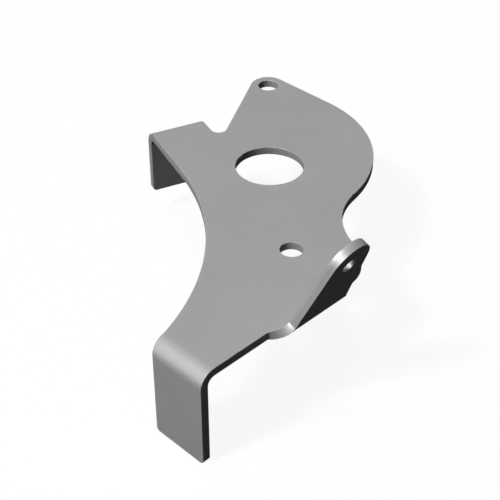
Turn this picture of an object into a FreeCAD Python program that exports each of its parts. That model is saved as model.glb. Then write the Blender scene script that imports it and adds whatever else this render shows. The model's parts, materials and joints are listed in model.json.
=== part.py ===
import FreeCAD, Part
import math
import os

# A bracket stamped and folded from one piece of sheet steel.
# A flat plate carries a large hole and two small ones. Two legs are folded down along its left side,
# and a lug with a small hole is folded up from its front edge.
# The origin is the centre of the large hole, on the underside of the plate.
# X runs along the straight front edge towards the rounded end, Y runs across towards the tab, Z is up.
# Sizes are in millimetres and angles in degrees.

# Sheet and folds
sheet_thickness = 3.0
bend_inner_radius = 2.8

# Holes in the plate
large_hole_diameter = 25.0
front_hole_diameter = 8.0
front_hole_x = -31.2
front_hole_y = -40.5
tab_hole_diameter = 8.0
tab_hole_y = 41.9

# Straight edges of the plate
front_edge_y = -64.15
rear_edge_x = 49.2

# Tab at the far corner: round about its hole, with one sloping side
tab_end_radius = 7.0
tab_side_slope = 30.0

# Round end, the neck beside it, and the corner between the neck and the front edge
round_end_radius = 49.7
round_end_center_y = 15.3
neck_radius = 29.2
neck_center_x = 13.5
front_corner_radius = 15.0

# Rear leg: its bend line is turned from X, and u and v are measured along and across that line
rear_leg_turn = -19.0
rear_leg_side_u = -30.2
rear_leg_width = 21.4
rear_leg_face_v = 43.65
rear_leg_foot_z = -23.9
notch_radius = 3.1

# Large round cut-out between the legs: it runs into the rear leg's side without a corner
cutout_radius = 98.8
cutout_start_v = 11.0

# Front leg
front_leg_face_x = -94.7
front_leg_width = 21.4
front_leg_foot_z = -33.6
foot_corner_radius = 1.4

# Lug on the front edge
lug_bend_angle = 70.0
lug_side_x = -36.9
lug_base_width = 23.4
lug_end_radius = 8.5
lug_hole_diameter = 5.5
lug_hole_height = 21.2
lug_left_flare = 6.2
lug_right_flare = 4.0

# Angles of the construction, and the shortest line worth drawing
quarter_turn = 90.0
half_turn = 180.0
shortest_line = 1e-6

# Places that follow from the sizes
bend_outer_radius = bend_inner_radius + sheet_thickness
front_bend_x = front_leg_face_x + bend_outer_radius
rear_bend_v = rear_leg_face_v - bend_outer_radius
tab_hole_x = rear_edge_x - tab_end_radius
along_u = (math.cos(math.radians(rear_leg_turn)), math.sin(math.radians(rear_leg_turn)))
along_v = (-along_u[1], along_u[0])


def point(x, y, z=0.0):
    return FreeCAD.Vector(x, y, z)


def from_uv(u, v):
    """A point of the plate given along and across the rear leg's bend line."""
    return point(u * along_u[0] + v * along_v[0], u * along_u[1] + v * along_v[1])


def on_circle(center, radius, angle):
    """The point of a circle that lies at an angle from X."""
    turn = math.radians(angle)
    return center + point(radius * math.cos(turn), radius * math.sin(turn))


def heading(start, end):
    """The angle from X of the line from one point to another."""
    return math.degrees(math.atan2(end.y - start.y, end.x - start.x))


def other_leg(longest, leg):
    """The second short side of a right-angled triangle."""
    return math.sqrt(longest ** 2 - leg ** 2)


def arc(center, radius, start_angle, end_angle):
    """A circular edge from one angle to another, in the sense of their difference."""
    start = on_circle(center, radius, start_angle)
    middle = on_circle(center, radius, (start_angle + end_angle) / 2)
    end = on_circle(center, radius, end_angle)
    return Part.Arc(start, middle, end).toShape()


def joined(parts):
    """A closed face made of edges in order, with straight lines between their ends."""
    edges = []
    for number, edge in enumerate(parts):
        following = parts[(number + 1) % len(parts)]
        start = edge.lastVertex(True).Point
        end = following.firstVertex(True).Point
        edges.append(edge)
        if start.distanceToPoint(end) > shortest_line:
            edges.append(Part.makeLine(start, end))
    return Part.Face(Part.Wire(edges))


def hole(center, diameter):
    """A round cutter that passes right through the sheet."""
    return Part.makeCylinder(diameter / 2, 3 * sheet_thickness, center - point(0, 0, sheet_thickness))


def cutout_center():
    return from_uv(rear_leg_side_u - cutout_radius, cutout_start_v)


def cutout_end_angle():
    """Where the round cut-out reaches the front leg's bend line."""
    return -math.degrees(math.acos((front_bend_x - cutout_center().x) / cutout_radius))


def cutout_end():
    return on_circle(cutout_center(), cutout_radius, cutout_end_angle())


def notch_center():
    """The centre of the notch's fillet, which touches the rear leg's side and the tab's side."""
    slope = math.radians(tab_side_slope)
    away_from_tab = point(-math.sin(slope), math.cos(slope))
    from_side = tab_end_radius + notch_radius + point(tab_hole_x, tab_hole_y).dot(away_from_tab)
    u = rear_leg_side_u + rear_leg_width + notch_radius
    v = (from_side - u * from_uv(1, 0).dot(away_from_tab)) / from_uv(0, 1).dot(away_from_tab)
    return from_uv(u, v)


def plate_outline():
    """The flat plate up to the three bend lines, anticlockwise from the front corner."""
    round_end = point(rear_edge_x - round_end_radius, round_end_center_y)
    neck_drop = other_leg(round_end_radius + neck_radius, neck_center_x - round_end.x)
    neck = point(neck_center_x, round_end.y - neck_drop)
    corner_y = front_edge_y + front_corner_radius
    corner = point(neck.x - other_leg(neck_radius + front_corner_radius, corner_y - neck.y), corner_y)
    front_corner = arc(corner, front_corner_radius, -quarter_turn, heading(corner, neck))
    neck_curve = arc(neck, neck_radius, heading(neck, corner), heading(neck, round_end))
    end_curve = arc(round_end, round_end_radius, heading(round_end, neck), 0)
    tab_curve = arc(point(tab_hole_x, tab_hole_y), tab_end_radius, 0, tab_side_slope + quarter_turn)
    notch = arc(notch_center(), notch_radius, tab_side_slope - quarter_turn, rear_leg_turn - half_turn)
    rear_side = rear_leg_side_u + rear_leg_width
    rear_bend = Part.makeLine(from_uv(rear_side, rear_bend_v), from_uv(rear_leg_side_u, rear_bend_v))
    cutout = arc(cutout_center(), cutout_radius, rear_leg_turn, cutout_end_angle())
    front_bend = Part.makeLine(cutout_end(), point(front_bend_x, front_edge_y))
    return joined([front_corner, neck_curve, end_curve, tab_curve, notch, rear_bend, cutout, front_bend])


def plate():
    """The flat plate with its three holes."""
    solid = plate_outline().extrude(point(0, 0, sheet_thickness))
    solid = solid.cut(hole(point(0, 0), large_hole_diameter))
    solid = solid.cut(hole(point(front_hole_x, front_hole_y), front_hole_diameter))
    return solid.cut(hole(point(tab_hole_x, tab_hole_y), tab_hole_diameter))


# Each fold is drawn flat in a frame of its own: x along the bend line, y outwards from it, z up.
# It is then swung about the bend's axis, upwards for a positive angle and downwards for a negative one.
def axis_height(angle):
    """How high the bend's axis lies above the plate's underside."""
    if angle > 0:
        return bend_outer_radius
    return -bend_inner_radius


def swung(shape, angle):
    """A copy of a shape turned about the bend's axis."""
    turned = shape.copy()
    turned.rotate(point(0, 0, axis_height(angle)), point(1, 0, 0), angle)
    return turned


def upright_rectangle(x_low, x_high, z_low, z_high):
    """A rectangular wire that stands on the bend line."""
    corners = [
        point(x_low, 0, z_low),
        point(x_high, 0, z_low),
        point(x_high, 0, z_high),
        point(x_low, 0, z_high),
    ]
    return Part.makePolygon(corners + corners[:1])


def end_trim(x_at_start, x_at_end, x_far, angle):
    """A cutter for a bend's end that shifts evenly along the bend line, its wall square to the sheet."""
    steps = 8
    margin = 0.1
    sections = []
    for step in range(-1, steps + 2):
        share = step / steps
        x_wall = x_at_start + share * (x_at_end - x_at_start)
        outline = upright_rectangle(x_wall, x_far, -margin, sheet_thickness + margin)
        turned = outline.copy()
        turned.rotate(point(0, 0, axis_height(angle)), point(1, 0, 0), share * angle)
        sections.append(turned)
    return Part.makeLoft(sections, True, False)


def bend(starts, ends, angle):
    """The curved strip of a fold. Its two ends go from the places in starts to those in ends."""
    clearance = sheet_thickness
    x_low = min(starts[0], ends[0])
    x_high = max(starts[1], ends[1])
    section = Part.Face(upright_rectangle(x_low, x_high, 0, sheet_thickness))
    strip = section.revolve(point(0, 0, axis_height(angle)), point(1, 0, 0), angle)
    if starts[0] != ends[0]:
        strip = strip.cut(end_trim(starts[0], ends[0], x_low - clearance, angle))
    if starts[1] != ends[1]:
        strip = strip.cut(end_trim(starts[1], ends[1], x_high + clearance, angle))
    return strip


def leg_flap(width, length):
    """A leg below its bend, drawn flat: a rectangle with two rounded corners at the foot."""
    radius = foot_corner_radius
    base = Part.makeLine(point(0, 0), point(width, 0))
    right_corner = arc(point(width - radius, length - radius), radius, 0, quarter_turn)
    left_corner = arc(point(radius, length - radius), radius, quarter_turn, half_turn)
    return joined([base, right_corner, left_corner]).extrude(point(0, 0, sheet_thickness))


def lug_flap():
    """The lug above its bend, drawn flat: one square side, one sloping side, round about its hole."""
    center = point(lug_end_radius, lug_hole_height)
    base_end = point(lug_base_width, 0)
    reach = center.distanceToPoint(base_end)
    slope_start = heading(center, base_end) + math.degrees(math.acos(lug_end_radius / reach))
    base = Part.makeLine(point(0, 0), base_end)
    solid = joined([base, arc(center, lug_end_radius, slope_start, half_turn)])
    return solid.extrude(point(0, 0, sheet_thickness)).cut(hole(center, lug_hole_diameter))


def placed(shapes, origin, turn):
    """The pieces of a fold as one solid at its bend line."""
    fold = shapes[0].fuse(shapes[1])
    fold.rotate(point(0, 0), point(0, 0, 1), turn)
    fold.translate(origin)
    return fold


def front_leg():
    """The leg at the left end of the front edge, folded square down."""
    curve = bend((0, cutout_end().y - front_edge_y), (0, front_leg_width), -quarter_turn)
    flap = swung(leg_flap(front_leg_width, -front_leg_foot_z - bend_inner_radius), -quarter_turn)
    return placed([curve, flap], point(front_bend_x, front_edge_y), quarter_turn)


def rear_leg():
    """The leg beyond the round cut-out, folded square down along its turned bend line."""
    curve = bend((0, rear_leg_width), (0, rear_leg_width), -quarter_turn)
    flap = swung(leg_flap(rear_leg_width, -rear_leg_foot_z - bend_inner_radius), -quarter_turn)
    return placed([curve, flap], from_uv(rear_leg_side_u, rear_bend_v), rear_leg_turn)


def lug():
    """The lug on the front edge, folded up until it leans outwards a little."""
    starts = (-lug_right_flare, lug_base_width + lug_left_flare)
    curve = bend(starts, (0, lug_base_width), lug_bend_angle)
    flap = swung(lug_flap(), lug_bend_angle)
    return placed([curve, flap], point(lug_side_x, front_edge_y), half_turn)


bracket = plate().fuse([front_leg(), rear_leg(), lug()]).removeSplitter()
if len(bracket.Solids) == 1:
    bracket = bracket.Solids[0]

os.makedirs("parts", exist_ok=True)
bracket.exportStep("parts/bracket.step")
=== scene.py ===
import json
import math

import bpy
from mathutils import Matrix, Vector
from mathutils.geometry import delaunay_2d_cdt


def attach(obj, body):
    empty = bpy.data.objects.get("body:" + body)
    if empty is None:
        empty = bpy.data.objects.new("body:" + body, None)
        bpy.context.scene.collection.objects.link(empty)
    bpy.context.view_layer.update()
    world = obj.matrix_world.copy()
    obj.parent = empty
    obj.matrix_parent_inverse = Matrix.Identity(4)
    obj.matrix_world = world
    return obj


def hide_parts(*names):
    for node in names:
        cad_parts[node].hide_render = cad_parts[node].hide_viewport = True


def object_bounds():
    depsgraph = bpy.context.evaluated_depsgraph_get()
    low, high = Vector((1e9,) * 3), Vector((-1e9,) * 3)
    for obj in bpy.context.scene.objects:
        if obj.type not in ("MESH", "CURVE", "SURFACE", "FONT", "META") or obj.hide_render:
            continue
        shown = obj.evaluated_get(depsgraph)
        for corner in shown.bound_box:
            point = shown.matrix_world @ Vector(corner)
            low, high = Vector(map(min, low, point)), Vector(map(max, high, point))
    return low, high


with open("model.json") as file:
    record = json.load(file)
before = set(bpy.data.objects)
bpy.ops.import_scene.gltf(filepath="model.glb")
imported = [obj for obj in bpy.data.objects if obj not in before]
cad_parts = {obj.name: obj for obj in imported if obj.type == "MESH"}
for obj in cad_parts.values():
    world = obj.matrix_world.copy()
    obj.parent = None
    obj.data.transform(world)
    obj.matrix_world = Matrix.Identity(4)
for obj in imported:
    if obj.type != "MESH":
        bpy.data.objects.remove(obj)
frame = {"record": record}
cad_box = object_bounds()

# The sheet. The bracket is one blank of 3 mm cold-rolled mild steel, cut out and pierced in a press and
# then folded along three lines. It is drawn flat first, seen from its upper side, in part-frame metres.
mm = 0.001
mounts = {mount["name"]: mount for mount in frame["record"]["mounts"]}
sheet = mounts["large_bore"]["dims"]["length_mm"] * mm
bend_inner_radius = 2.8 * mm
bend_outer_radius = bend_inner_radius + sheet
middle_radius = bend_inner_radius + sheet / 2

# The front leg. The long leg at the left end of the straight front edge, 21.4 mm wide and folded square
# down. Its two corners at the foot are rounded.
quarter_turn = math.pi / 2
front_edge_y = -64.15 * mm
leg_width = 21.4 * mm
foot_corner_radius = 1.4 * mm
square_fold_rows = 30
folds = []


def add_fold(start, along, outward, width, angle, rows):
    """A fold: its line from a start point, the way out of the plate, and its angle, downwards if negative.
    The rows are the steps in which the sheet is drawn round the bend."""
    folds.append({
        "start": start, "along": along, "outward": outward, "width": width, "angle": abs(angle),
        "up": math.copysign(1, angle), "length": middle_radius * abs(angle), "rows": rows})
    return folds[-1]


def rounded_corner(point, radius):
    """A rounded corner between two straight edges of the blank."""
    return {"corner": point, "radius": radius}


front_bend_x = cad_box[0].x + bend_outer_radius
front_side_y = front_edge_y + leg_width
front_fold = add_fold(
    Vector((front_bend_x, front_edge_y)), Vector((0, 1)), Vector((-1, 0)), leg_width,
    -quarter_turn, square_fold_rows)
front_foot_x = front_bend_x - front_fold["length"] - (-bend_inner_radius - cad_box[0].z)
front_foot_inner = rounded_corner(Vector((front_foot_x, front_side_y)), foot_corner_radius)
front_foot_outer = rounded_corner(Vector((front_foot_x, front_edge_y)), foot_corner_radius)

# The lug. A tongue on the front edge, folded 70 degrees up, with one square side, one sloping side and a
# round end about its hole. Its root widens into the front edge within the bend.
whole_turn = 2 * math.pi
lug_angle = math.radians(70)
lug_fold_rows = 24
lug_end_radius = 8.5 * mm
lug_base_width = 23.4 * mm
lug_left_flare = 6.2 * mm
lug_right_flare = 4 * mm
lug_hole_reach = 21.2 * mm
root_corner_radius = 0.5 * mm


def arc(center, radius, start, end):
    """A circular edge of the blank between two angles. A falling angle runs round a hollow."""
    return {"center": center, "radius": radius, "angles": (start, end)}


def heading(start, end):
    """The angle of the way from one point to another."""
    return math.atan2(end.y - start.y, end.x - start.x)


lug_hole_x = mounts["lug_bore"]["pos_m"][0]
lug_side_x = lug_hole_x + lug_end_radius
lug_left_x = lug_side_x - lug_base_width
lug_fold = add_fold(
    Vector((lug_left_x, front_edge_y)), Vector((1, 0)), Vector((0, -1)), lug_base_width,
    lug_angle, lug_fold_rows)
lug_base_y = front_edge_y - lug_fold["length"]
lug_hole = Vector((lug_hole_x, lug_base_y - lug_hole_reach))
slope_foot = Vector((lug_left_x, lug_base_y))
slope_turn = math.acos(lug_end_radius / (slope_foot - lug_hole).length)
slope_end = (heading(lug_hole, slope_foot) + slope_turn) % whole_turn
lug_outline = [
    rounded_corner(Vector((lug_left_x - lug_left_flare, front_edge_y)), root_corner_radius),
    rounded_corner(slope_foot, root_corner_radius),
    arc(lug_hole, lug_end_radius, slope_end, whole_turn),
    rounded_corner(Vector((lug_side_x, lug_base_y)), root_corner_radius),
    rounded_corner(Vector((lug_side_x + lug_right_flare, front_edge_y)), root_corner_radius),
]

# The rounded end of the plate. The front corner, the neck, the large round end and the tab about its
# hole, all cut as arcs that run into each other, up to the notch beside the rear leg.
rear_edge_x = cad_box[1].x
front_corner_radius = 15 * mm
neck_radius = 29.2 * mm
neck_x = 13.5 * mm
round_end_radius = 49.7 * mm
round_end_y = 15.3 * mm
tab_side_slope = math.radians(30)


def other_side(longest, side):
    """The third side of a right-angled triangle, from its longest side and one other."""
    return math.sqrt(longest ** 2 - side ** 2)


round_end = Vector((rear_edge_x - round_end_radius, round_end_y))
tab_hole = Vector(mounts["tab_bore"]["pos_m"][:2])
tab_end_radius = rear_edge_x - tab_hole.x
neck_y = round_end.y - other_side(round_end_radius + neck_radius, neck_x - round_end.x)
neck = Vector((neck_x, neck_y))
front_corner_y = front_edge_y + front_corner_radius
front_corner_x = neck.x - other_side(neck_radius + front_corner_radius, front_corner_y - neck.y)
front_corner = Vector((front_corner_x, front_corner_y))
plate_end_outline = [
    arc(front_corner, front_corner_radius, -quarter_turn, heading(front_corner, neck)),
    arc(neck, neck_radius, heading(neck, front_corner), heading(neck, round_end)),
    arc(round_end, round_end_radius, heading(round_end, neck), 0),
    arc(tab_hole, tab_end_radius, 0, quarter_turn + tab_side_slope),
]

# The rear leg. The short leg beyond the notch, folded square down along a line that is turned 19 degrees.
# The notch keeps the fold from tearing the tab's side.
rear_turn = math.radians(-19)
along_rear = Vector((math.cos(rear_turn), math.sin(rear_turn)))
towards_rear = Vector((-along_rear.y, along_rear.x))
rear_side = -30.2 * mm
rear_face = 43.65 * mm
rear_foot_z = -23.9 * mm
notch_radius = 3.1 * mm
rear_bend = rear_face - bend_outer_radius
rear_fold = add_fold(
    along_rear * rear_side + towards_rear * rear_bend, along_rear, towards_rear, leg_width,
    -quarter_turn, square_fold_rows)
rear_foot = rear_bend + rear_fold["length"] - bend_inner_radius - rear_foot_z
away_from_tab = Vector((-math.sin(tab_side_slope), math.cos(tab_side_slope)))
notch_along = rear_side + leg_width + notch_radius
tab_side_to_notch = tab_end_radius + notch_radius + (tab_hole - along_rear * notch_along).dot(away_from_tab)
notch = along_rear * notch_along + towards_rear * (tab_side_to_notch / towards_rear.dot(away_from_tab))
rear_leg_outline = [
    arc(notch, notch_radius, tab_side_slope - quarter_turn, rear_turn - math.pi),
    rounded_corner(along_rear * (rear_side + leg_width) + towards_rear * rear_foot, foot_corner_radius),
    rounded_corner(along_rear * rear_side + towards_rear * rear_foot, foot_corner_radius),
]

# The round cut-out. The large hollow between the legs, cut on one radius from the rear leg's side to the
# front leg's bend line. Within the bend the edge runs on straight to the leg's side.
cutout_radius = 98.8 * mm
cutout_start = 11 * mm
cutout = along_rear * (rear_side - cutout_radius) + towards_rear * cutout_start
cutout_outline = [
    arc(cutout, cutout_radius, rear_turn, -math.acos((front_bend_x - cutout.x) / cutout_radius)),
    rounded_corner(Vector((front_bend_x - front_fold["length"], front_side_y)), root_corner_radius),
]

# The cut edge. The press shears it through the steel, all the way round the blank and each pierced hole.
# Lines and arcs are divided finely enough to look smooth close up, and straight edges also where the rows
# of a fold cross them. An edge that hardly rises across a fold, or a place too near its end, gets no row.
longest_step = 1.2 * mm
shortest_step = 0.08 * mm
longest_line_step = 4 * mm
finest_turn = math.radians(4)
least_rise = 0.1 * mm
end_margin = 0.0005
share_digits = 9
same_place = 0.001 * mm
flare_room = 0.5


def on_circle(center, radius, angle):
    return center + radius * Vector((math.cos(angle), math.sin(angle)))


def corner_arc(before, element, after):
    """The arc that rounds a corner, between the points that the edges on its two sides come from."""
    point = element["corner"]
    back = (before - point).normalized()
    on = (after - point).normalized()
    half_angle = math.acos(back.dot(on)) / 2
    center = point + (back + on).normalized() * element["radius"] / math.sin(half_angle)
    setback = element["radius"] / math.tan(half_angle)
    start = heading(center, point + back * setback)
    turn = math.pi - 2 * half_angle
    if (-back).cross(on) < 0:
        turn = -turn
    return arc(center, element["radius"], start, start + turn)


def ends(element):
    """The first and last point of an arc. A corner that isn't rounded yet gives its own point twice."""
    if "corner" in element:
        return element["corner"], element["corner"]
    return tuple(on_circle(element["center"], element["radius"], angle) for angle in element["angles"])


def arc_stations(element):
    """Points along an arc, each with the way out of the sheet."""
    start, end = element["angles"]
    out = math.copysign(1, end - start)
    length = abs(end - start) * element["radius"]
    by_turn = min(math.ceil(abs(end - start) / finest_turn), math.ceil(length / shortest_step))
    steps = max(2, by_turn, math.ceil(length / longest_step))
    angles = [start + (end - start) * step / steps for step in range(steps + 1)]
    return [(on_circle(element["center"], element["radius"], angle), on_circle(Vector((0, 0)), out, angle))
            for angle in angles]


def in_fold(fold, along):
    """True for a place along a fold line that the fold bends. The flares may reach half its width past it."""
    return -flare_room < along / fold["width"] < 1 + flare_room


def line_stations(start, end):
    """Points between the ends of a straight edge, each with the way out of the sheet."""
    edge = end - start
    out = Vector((edge.y, -edge.x)).normalized()
    steps = max(1, math.ceil(edge.length / longest_line_step))
    shares = {round(step / steps, share_digits) for step in range(1, steps)}
    for fold in folds:
        rise = edge.dot(fold["outward"])
        if abs(rise) < least_rise:
            continue
        for row in range(fold["rows"] + 1):
            beyond = fold["length"] * row / fold["rows"]
            share = (beyond - (start - fold["start"]).dot(fold["outward"])) / rise
            along = (start + edge * share - fold["start"]).dot(fold["along"])
            if end_margin < share < 1 - end_margin and in_fold(fold, along):
                shares.add(round(share, share_digits))
    return [(start + edge * share, out) for share in sorted(shares)]


def closed_loop(outline):
    """All the stations of an outline in order, one for each place."""
    arcs = []
    for number, element in enumerate(outline):
        if "corner" in element:
            before = ends(outline[number - 1])[1]
            after = ends(outline[(number + 1) % len(outline)])[0]
            element = corner_arc(before, element, after)
        arcs.append(element)
    stations = []
    for number, element in enumerate(arcs):
        following = ends(arcs[(number + 1) % len(arcs)])[0]
        stations += arc_stations(element)
        stations += line_stations(stations[-1][0], following)
    loop = []
    for point, out in stations:
        if loop and (point - loop[-1][0]).length < same_place:
            loop[-1] = (point, (out + loop[-1][1]).normalized())
        else:
            loop.append((point, out))
    if (loop[0][0] - loop[-1][0]).length < same_place:
        loop.pop()
    return loop


outline = [front_foot_outer] + lug_outline + plate_end_outline + rear_leg_outline + cutout_outline
outline.append(front_foot_inner)
hole_centers = {
    "large_bore": Vector((0, 0)), "front_bore": Vector(mounts["front_bore"]["pos_m"][:2]),
    "tab_bore": tab_hole, "lug_bore": lug_hole}
loops = [closed_loop(outline)]
for name, center in hole_centers.items():
    loops.append(closed_loop([arc(center, mounts[name]["dims"]["r_mm"] * mm, whole_turn, 0)]))

# The rounded edge. Shearing rolls the upper edge over by some 0.15 mm and leaves the lower one nearly
# sharp. The blank's skin is then laid between the edges, divided by rows across each fold.
rolled_edge = 0.15 * mm
broken_edge = 0.1 * mm
rubbed_band = 0.9 * mm
edge_rows = 4
wall_rows = 3
upper_rub = 0.5
wall_rub = 0.2
lower_rub = 0.4
wall_fade = 4
row_step = 2.5 * mm
blank = {"place": [], "depth": [], "normal": [], "rub": [], "wall": [], "faces": []}


def edge_profile():
    """The edge from the upper skin to the lower one: inset, depth, angle from upright, rub and wall.
    Rub is how far handling has polished the coat there, and wall is 1 on the cut face alone."""
    profile = [(rolled_edge + rubbed_band, 0, 0, 0, 0)]
    for row in range(edge_rows + 1):
        angle = quarter_turn * row / edge_rows
        inset = rolled_edge * (1 - math.sin(angle))
        depth = rolled_edge * (1 - math.cos(angle))
        rub = upper_rub + upper_rub * math.sin(2 * angle)
        profile.append((inset, depth, angle, rub, math.sin(angle) ** wall_fade))
    wall_height = sheet - broken_edge - rolled_edge
    for row in range(1, wall_rows + 1):
        profile.append((0, rolled_edge + wall_height * row / wall_rows, quarter_turn, wall_rub, 1))
    for row in range(1, edge_rows + 1):
        angle = quarter_turn * (1 + row / edge_rows)
        inset = broken_edge * (1 - math.sin(angle))
        depth = sheet - broken_edge * (1 + math.cos(angle))
        profile.append((inset, depth, angle, lower_rub, math.sin(angle) ** wall_fade))
    profile.append((broken_edge + rubbed_band, sheet, math.pi, 0, 0))
    return profile


def add_vertex(place, depth, normal, rub, wall):
    for name, value in (("place", place), ("depth", depth), ("normal", normal), ("rub", rub), ("wall", wall)):
        blank[name].append(value)
    return len(blank["place"]) - 1


def edge_band(loop):
    """The cut edge along one loop. Returns its vertices as rows, from the upper skin to the lower one."""
    rows = []
    for inset, depth, angle, rub, wall in edge_profile():
        level = math.sin(angle)
        upright = math.cos(angle)
        rows.append([
            add_vertex(point - out * inset, depth, Vector((out.x * level, out.y * level, upright)), rub, wall)
            for point, out in loop])
    for upper, lower in zip(rows, rows[1:]):
        for number, here in enumerate(upper):
            following = (number + 1) % len(upper)
            blank["faces"].append((here, lower[number], lower[following], upper[following]))
    return rows


def fold_row(ring, fold, beyond, depth, up):
    """The vertices of one row across a fold, from the skin's border on one side to the other."""
    crossings = []
    for here, following in zip(ring, ring[1:] + ring[:1]):
        first = (blank["place"][here] - fold["start"]).dot(fold["outward"]) - beyond
        second = (blank["place"][following] - fold["start"]).dot(fold["outward"]) - beyond
        if (first > 0) == (second > 0):
            continue
        nearest = here if abs(first) < abs(second) else following
        along = (blank["place"][nearest] - fold["start"]).dot(fold["along"])
        if in_fold(fold, along):
            crossings.append((along, nearest))
    (low, first), (high, last) = sorted(crossings)
    steps = round((high - low) / row_step)
    line = fold["start"] + fold["outward"] * beyond
    inner = [add_vertex(line + fold["along"] * (low + (high - low) * step / steps), depth, up, 0, 0)
             for step in range(1, steps)]
    return [first] + inner + [last]


def lay_skin(rings, depth, side):
    """Fills one face of the sheet between its outline and its holes. The triangulation works in millimetres,
    fills the holes and hollows too, and names the rings round each triangle: ring 0 alone is metal."""
    fill_all = 0
    same_point = 1e-5
    up = Vector((0, 0, side))
    used = [vertex for ring in rings for vertex in ring]
    edges = []
    for fold in folds:
        for row in range(fold["rows"] + 1):
            vertices = fold_row(rings[0], fold, fold["length"] * row / fold["rows"], depth, up)
            used += vertices[1:-1]
            edges += zip(vertices, vertices[1:])
    numbers = {vertex: number for number, vertex in enumerate(used)}
    flat = [blank["place"][vertex] / mm for vertex in used]
    pairs = [(numbers[first], numbers[last]) for first, last in edges]
    borders = [[numbers[vertex] for vertex in ring] for ring in rings]
    borders = borders[:1] + [border[::-1] for border in borders[1:]]
    _, _, triangles, sources, _, regions = delaunay_2d_cdt(flat, pairs, borders, fill_all, same_point, True)
    for triangle, region in zip(triangles, regions):
        if region == [0]:
            corners = [used[sources[number][0]] for number in triangle]
            blank["faces"].append(tuple(corners[::side]))


bands = [edge_band(loop) for loop in loops]
lay_skin([rows[0] for rows in bands], 0, 1)
lay_skin([rows[-1] for rows in bands], sheet, -1)

# The folding. The press bends the blank on one inner radius at all three lines. The sheet's middle layer
# keeps its length, so a point is carried round the bend by its distance from the line.


def folded(place, depth, normal):
    """Where a point of the blank lies on the folded bracket, and the way out of the metal there."""
    for fold in folds:
        beyond = (place - fold["start"]).dot(fold["outward"])
        along = (place - fold["start"]).dot(fold["along"])
        if beyond > 0 and in_fold(fold, along):
            break
    else:
        return Vector((place.x, place.y, sheet - depth)), normal
    up = fold["up"]
    radius = bend_inner_radius + depth if up > 0 else bend_outer_radius - depth
    axis = bend_outer_radius if up > 0 else -bend_inner_radius
    turn = min(beyond, fold["length"]) / middle_radius
    straight = max(beyond - fold["length"], 0)
    reach = radius * math.sin(turn) + straight * math.cos(turn)
    height = axis + up * (straight * math.sin(turn) - radius * math.cos(turn))
    flat = fold["start"] + fold["along"] * along + fold["outward"] * reach
    side = normal.xy.dot(fold["along"])
    out = normal.xy.dot(fold["outward"]) * (middle_radius / radius if straight == 0 else 1)
    level = fold["along"] * side + fold["outward"] * (out * math.cos(turn) - up * normal.z * math.sin(turn))
    upright = normal.z * math.cos(turn) + up * out * math.sin(turn)
    return Vector((flat.x, flat.y, height)), Vector((level.x, level.y, upright)).normalized()


formed = [folded(*vertex) for vertex in zip(blank["place"], blank["depth"], blank["normal"])]
bracket_mesh = bpy.data.meshes.new("stamped_bracket")
bracket_mesh.from_pydata([point for point, normal in formed], [], blank["faces"])
bracket_mesh.shade_smooth()
bracket_mesh.normals_split_custom_set_from_vertices([normal for point, normal in formed])
bracket_mesh.attributes.new("on_sheet", "FLOAT_VECTOR", "POINT").data.foreach_set("vector", [
    value for place, depth in zip(blank["place"], blank["depth"]) for value in (place.x, place.y, depth)])
for name in ("rub", "wall"):
    bracket_mesh.attributes.new(name, "FLOAT", "POINT").data.foreach_set("value", blank[name])
bracket = bpy.data.objects.new("stamped_bracket", bracket_mesh)
bpy.context.scene.collection.objects.link(bracket)
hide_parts("bracket")
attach(bracket, "root")

# The finish. Zinc phosphate, grown in a bath on the sheared and folded steel: a dull, even mid grey of fine
# crystals, with a soft broad sheen on the bends. It is a little brighter and smoother where edges have
# rubbed, and the marks of the press show through it on the cut edge.
crystal_size = 0.55 * mm
cloud_size = 25 * mm
roll_line_gap = 0.7 * mm
along_and_across_roll = (0.04, 1.0, 1.0)
streak_gap = 0.6 * mm
wander_length = 4 * mm
wander_height = 1.2 * mm
torn_start = 1.6 * mm
torn_whole = 2.0 * mm
crystal_height = 0.004 * mm
streak_to_crystal_height = 2.0


def hex_color(code):
    """An sRGB hex colour as linear red, green, blue and alpha."""
    channels = [int(code[i:i + 2], 16) / 255 for i in (1, 3, 5)]
    return [c / 12.92 if c <= 0.04045 else ((c + 0.055) / 1.055) ** 2.4 for c in channels] + [1.0]


def add_node(tree, kind, inputs=None, **settings):
    """Adds a node, sets its properties, and sets or links its inputs."""
    node = tree.nodes.new(kind)
    for name, value in settings.items():
        setattr(node, name, value)
    for name, value in (inputs or {}).items():
        if isinstance(value, bpy.types.NodeSocket):
            tree.links.new(value, node.inputs[name])
        else:
            node.inputs[name].default_value = value
    return node


def new_material(name):
    material = bpy.data.materials.new(name)
    material.use_nodes = True
    material.node_tree.nodes.clear()
    return material


steel = new_material("zinc_phosphated_steel")
coat = steel.node_tree
on_sheet = add_node(coat, "ShaderNodeAttribute", attribute_name="on_sheet").outputs["Vector"]
rub = add_node(coat, "ShaderNodeAttribute", attribute_name="rub").outputs["Fac"]
wall = add_node(coat, "ShaderNodeAttribute", attribute_name="wall").outputs["Fac"]
depth_in_sheet = add_node(coat, "ShaderNodeSeparateXYZ", {"Vector": on_sheet}).outputs["Z"]

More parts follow.
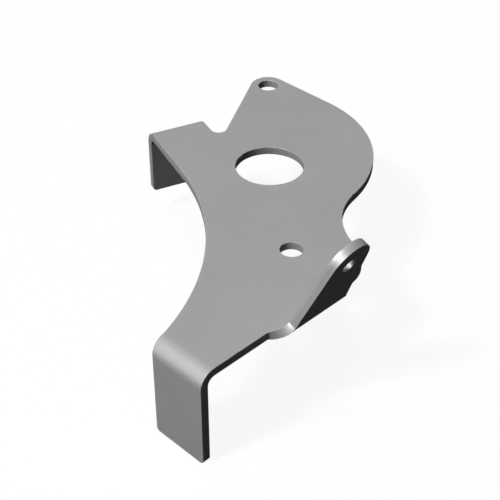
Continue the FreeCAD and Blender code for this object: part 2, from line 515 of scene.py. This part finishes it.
# Real crystals are a few hundredths of a millimetre, and are drawn at half a millimetre so that they show.
# The rolling lines under them lie along X, some 0.2 mm apart on real sheet and drawn at 0.7 mm. The coat's
# slow changes run over some 25 mm, as where the bath drained off unevenly.
crystals = add_node(coat, "ShaderNodeTexNoise", {
    "Vector": on_sheet, "Scale": 1 / crystal_size, "Detail": 2.0}).outputs["Fac"]
clouds = add_node(coat, "ShaderNodeTexNoise", {
    "Vector": on_sheet, "Scale": 1 / cloud_size, "Detail": 3.0}).outputs["Fac"]
along_roll = add_node(coat, "ShaderNodeVectorMath", {
    0: on_sheet, 1: along_and_across_roll}, operation="MULTIPLY").outputs["Vector"]
roll_lines = add_node(coat, "ShaderNodeTexNoise", {
    "Vector": along_roll, "Scale": 1 / roll_line_gap, "Detail": 2.0}).outputs["Fac"]

# The cut edge is burnished by the punch for its upper third and torn below it. The streaks of the cut run
# straight through the thickness, drawn 0.6 mm apart so that they show. The border between the two bands
# wanders by 0.3 mm about a depth of 1 mm, where the wander's mean of 0.6 mm and the depth reach torn_start.
through = add_node(coat, "ShaderNodeVectorMath", {
    0: on_sheet, 1: (1.0, 1.0, 0.0)}, operation="MULTIPLY").outputs["Vector"]
streaks = add_node(coat, "ShaderNodeTexNoise", {
    "Vector": through, "Scale": 1 / streak_gap, "Detail": 1.0}).outputs["Fac"]
wander = add_node(coat, "ShaderNodeTexNoise", {
    "Vector": through, "Scale": 1 / wander_length, "Detail": 2.0}).outputs["Fac"]
border = add_node(coat, "ShaderNodeMath", {
    0: wander, 1: wander_height, 2: depth_in_sheet}, operation="MULTIPLY_ADD").outputs[0]
below_border = add_node(coat, "ShaderNodeMapRange", {
    "Value": border, "From Min": torn_start, "From Max": torn_whole}).outputs["Result"]
torn = add_node(coat, "ShaderNodeMath", {0: below_border, 1: wall}, operation="MULTIPLY").outputs[0]
cut = add_node(coat, "ShaderNodeMath", {0: streaks, 1: wall}, operation="MULTIPLY").outputs[0]

# Each pattern moves the tone between a darker and a lighter grey by its share. The three that cover the
# whole sheet are 0.5 on average, and the tone starts low enough for them to bring it to the middle.
sheet_shares = ((crystals, 0.28), (clouds, 0.2), (roll_lines, 0.12))
edge_shares = ((rub, 0.12), (torn, -0.2), (cut, 0.12))
tone = 0.5 - 0.5 * sum(share for pattern, share in sheet_shares)
for pattern, share in sheet_shares + edge_shares:
    tone = add_node(coat, "ShaderNodeMath", {
        0: pattern, 1: share, 2: tone}, operation="MULTIPLY_ADD").outputs[0]
greys = add_node(coat, "ShaderNodeValToRGB", {"Fac": tone})
greys.color_ramp.elements[0].color = hex_color("#888888")
greys.color_ramp.elements[1].color = hex_color("#b6b6b6")

# The coat is matte, rougher on its crystals and where the edge is torn, and smoother where it is rubbed.
# A dry coat mirrors almost nothing of the white room, so its sheen comes from the steel's small share.
roughness = 0.36
for pattern, share in ((crystals, 0.08), (clouds, 0.04), (rub, -0.06), (torn, 0.05)):
    roughness = add_node(coat, "ShaderNodeMath", {
        0: pattern, 1: share, 2: roughness}, operation="MULTIPLY_ADD").outputs[0]
height = add_node(coat, "ShaderNodeMath", {
    0: cut, 1: streak_to_crystal_height, 2: crystals}, operation="MULTIPLY_ADD").outputs[0]
relief = add_node(coat, "ShaderNodeBump", {"Height": height, "Strength": 1.0, "Distance": crystal_height})
surface = add_node(coat, "ShaderNodeBsdfPrincipled", {
    "Base Color": greys.outputs["Color"], "Roughness": roughness, "Metallic": 0.045,
    "Specular IOR Level": 0.0, "Normal": relief.outputs["Normal"]})
add_node(coat, "ShaderNodeOutputMaterial", {"Surface": surface.outputs["BSDF"]})
bracket_mesh.materials.append(steel)

# The studio. A white room with a sheet of white paper for a floor, a hair's breadth under the lowest foot.
# The eye and the gloss see both as white, while the light that they cast on the bracket is kept low, so
# that the faces turned away from the lamps stay dark.
white = hex_color("#ffffff")
room_glow = 0.01
foot_clearance = 0.02 * mm
floor_reach = 3.0
near_whiteness = 0.925
near_distance = 0.5
white_distance = 2.0


def seen_or_unseen(tree, seen, unseen):
    """One shader for the rays that show the background, another for those that only carry its light."""
    rays = add_node(tree, "ShaderNodeLightPath").outputs
    direct = add_node(tree, "ShaderNodeMath", {
        0: rays["Is Camera Ray"], 1: rays["Is Glossy Ray"]}, operation="MAXIMUM").outputs[0]
    shown = add_node(tree, "ShaderNodeMath", {
        0: direct, 1: rays["Is Transmission Ray"]}, operation="MAXIMUM").outputs[0]
    return add_node(tree, "ShaderNodeMixShader", {0: shown, 1: unseen.outputs[0], 2: seen.outputs[0]})


room = bpy.data.worlds.new("studio")
bpy.context.scene.world = room
room.use_nodes = True
air = room.node_tree
air.nodes.clear()
bright_wall = add_node(air, "ShaderNodeBackground", {"Color": white, "Strength": 1.0})
dim_wall = add_node(air, "ShaderNodeBackground", {"Color": white, "Strength": room_glow})
walls = seen_or_unseen(air, bright_wall, dim_wall)
add_node(air, "ShaderNodeOutputWorld", {"Surface": walls.outputs[0]})

# The paper takes the bracket's shadow, and a glow of its own lifts it to white. The lamps' light thins out
# away from the bracket, so the glow grows there and the floor meets the room's white with no line.
white_paper = new_material("white_floor")
paper = white_paper.node_tree
fibres = add_node(paper, "ShaderNodeBsdfDiffuse", {"Color": hex_color("#505050")})
floor_place = add_node(paper, "ShaderNodeNewGeometry").outputs["Position"]
from_bracket = add_node(paper, "ShaderNodeVectorMath", {0: floor_place}, operation="LENGTH").outputs["Value"]
whiteness = add_node(paper, "ShaderNodeMapRange", {
    "Value": from_bracket, "From Min": near_distance, "From Max": white_distance,
    "To Min": near_whiteness, "To Max": 1.0}).outputs["Result"]
glow = add_node(paper, "ShaderNodeEmission", {"Color": white, "Strength": whiteness})
lit_paper = add_node(paper, "ShaderNodeAddShader", {0: fibres.outputs[0], 1: glow.outputs[0]})
dim_paper = add_node(paper, "ShaderNodeBsdfDiffuse", {"Color": hex_color("#202020")})
paper_face = seen_or_unseen(paper, lit_paper, dim_paper)
add_node(paper, "ShaderNodeOutputMaterial", {"Surface": paper_face.outputs[0]})
floor_z = cad_box[0].z - foot_clearance
floor_corners = [(-1, -1), (1, -1), (1, 1), (-1, 1)]
floor_mesh = bpy.data.meshes.new("floor")
floor_mesh.from_pydata(
    [(x * floor_reach, y * floor_reach, floor_z) for x, y in floor_corners], [], [(0, 1, 2, 3)])
floor_mesh.materials.append(white_paper)
floor = bpy.data.objects.new("floor", floor_mesh)
bpy.context.scene.collection.objects.link(floor)

# The lamps. The key lamp stands to the left and above, and a weaker one overhead. Both are soft discs, far
# enough away to light the whole bracket evenly.
lamp_distance = 3


def add_lamp(name, way, size, watts, breadth=0, long_way=(0, 0, 1)):
    """A soft lamp that faces the bracket: a disc, or with a breadth a panel whose long side lies long_way."""
    light = bpy.data.lights.new(name, "AREA")
    light.size = size
    light.energy = watts
    light.shape = "DISK"
    if breadth:
        light.shape = "RECTANGLE"
        light.size_y = breadth
    back = Vector(way).normalized()
    upward = back.cross(Vector(long_way)).normalized()
    lamp = bpy.data.objects.new(name, light)
    lamp.location = back * lamp_distance
    lamp.rotation_euler = Matrix((upward.cross(back), upward, back)).transposed().to_euler()
    bpy.context.scene.collection.objects.link(lamp)
    return lamp


add_lamp("key", way=(-0.63, 0.13, 0.76), size=0.5, watts=79)
add_lamp("overhead", way=(0.0, 0.1, 1.0), size=0.75, watts=22)

# Three more lamps give the sheen on the lug's end and root and along the bends. They act on gloss alone, so
# that the flat faces keep their grey, and throw no shadow, so that the wall of the lug's hole shines too.
sheen_lamps = [
    add_lamp("edge_sheen", way=(-0.65, 0.02, 0.755), size=1.8, watts=850, breadth=0.9,
             long_way=(0.5, -0.12, 0.33)),
    add_lamp("panel_sheen", way=(-0.45, 0.564, 0.65), size=5.2, watts=50, breadth=1.0,
             long_way=(-1.127, 0, -0.572)),
    add_lamp("low_sheen", way=(-0.82, 0.564, 0.12), size=0.9, watts=45),
]
for lamp in sheen_lamps:
    lamp.visible_diffuse = False
    lamp.data.use_shadow = False

# The camera. It stands 0.44 m from the large hole, off the bracket's left front corner, and looks down on
# it at 37 degrees through a long lens.
camera = bpy.data.cameras.new("camera")
camera.lens = 86.1
camera.sensor_width = 36.0
camera.clip_start = 0.01
eye = bpy.data.objects.new("camera", camera)
eye.location = (-0.26412, -0.25398, 0.24087)
eye.rotation_euler = (math.radians(52.97), 0.0, math.radians(-45.0))
bpy.context.scene.collection.objects.link(eye)
bpy.context.scene.camera = eye
bpy.context.scene.view_settings.view_transform = "Standard"
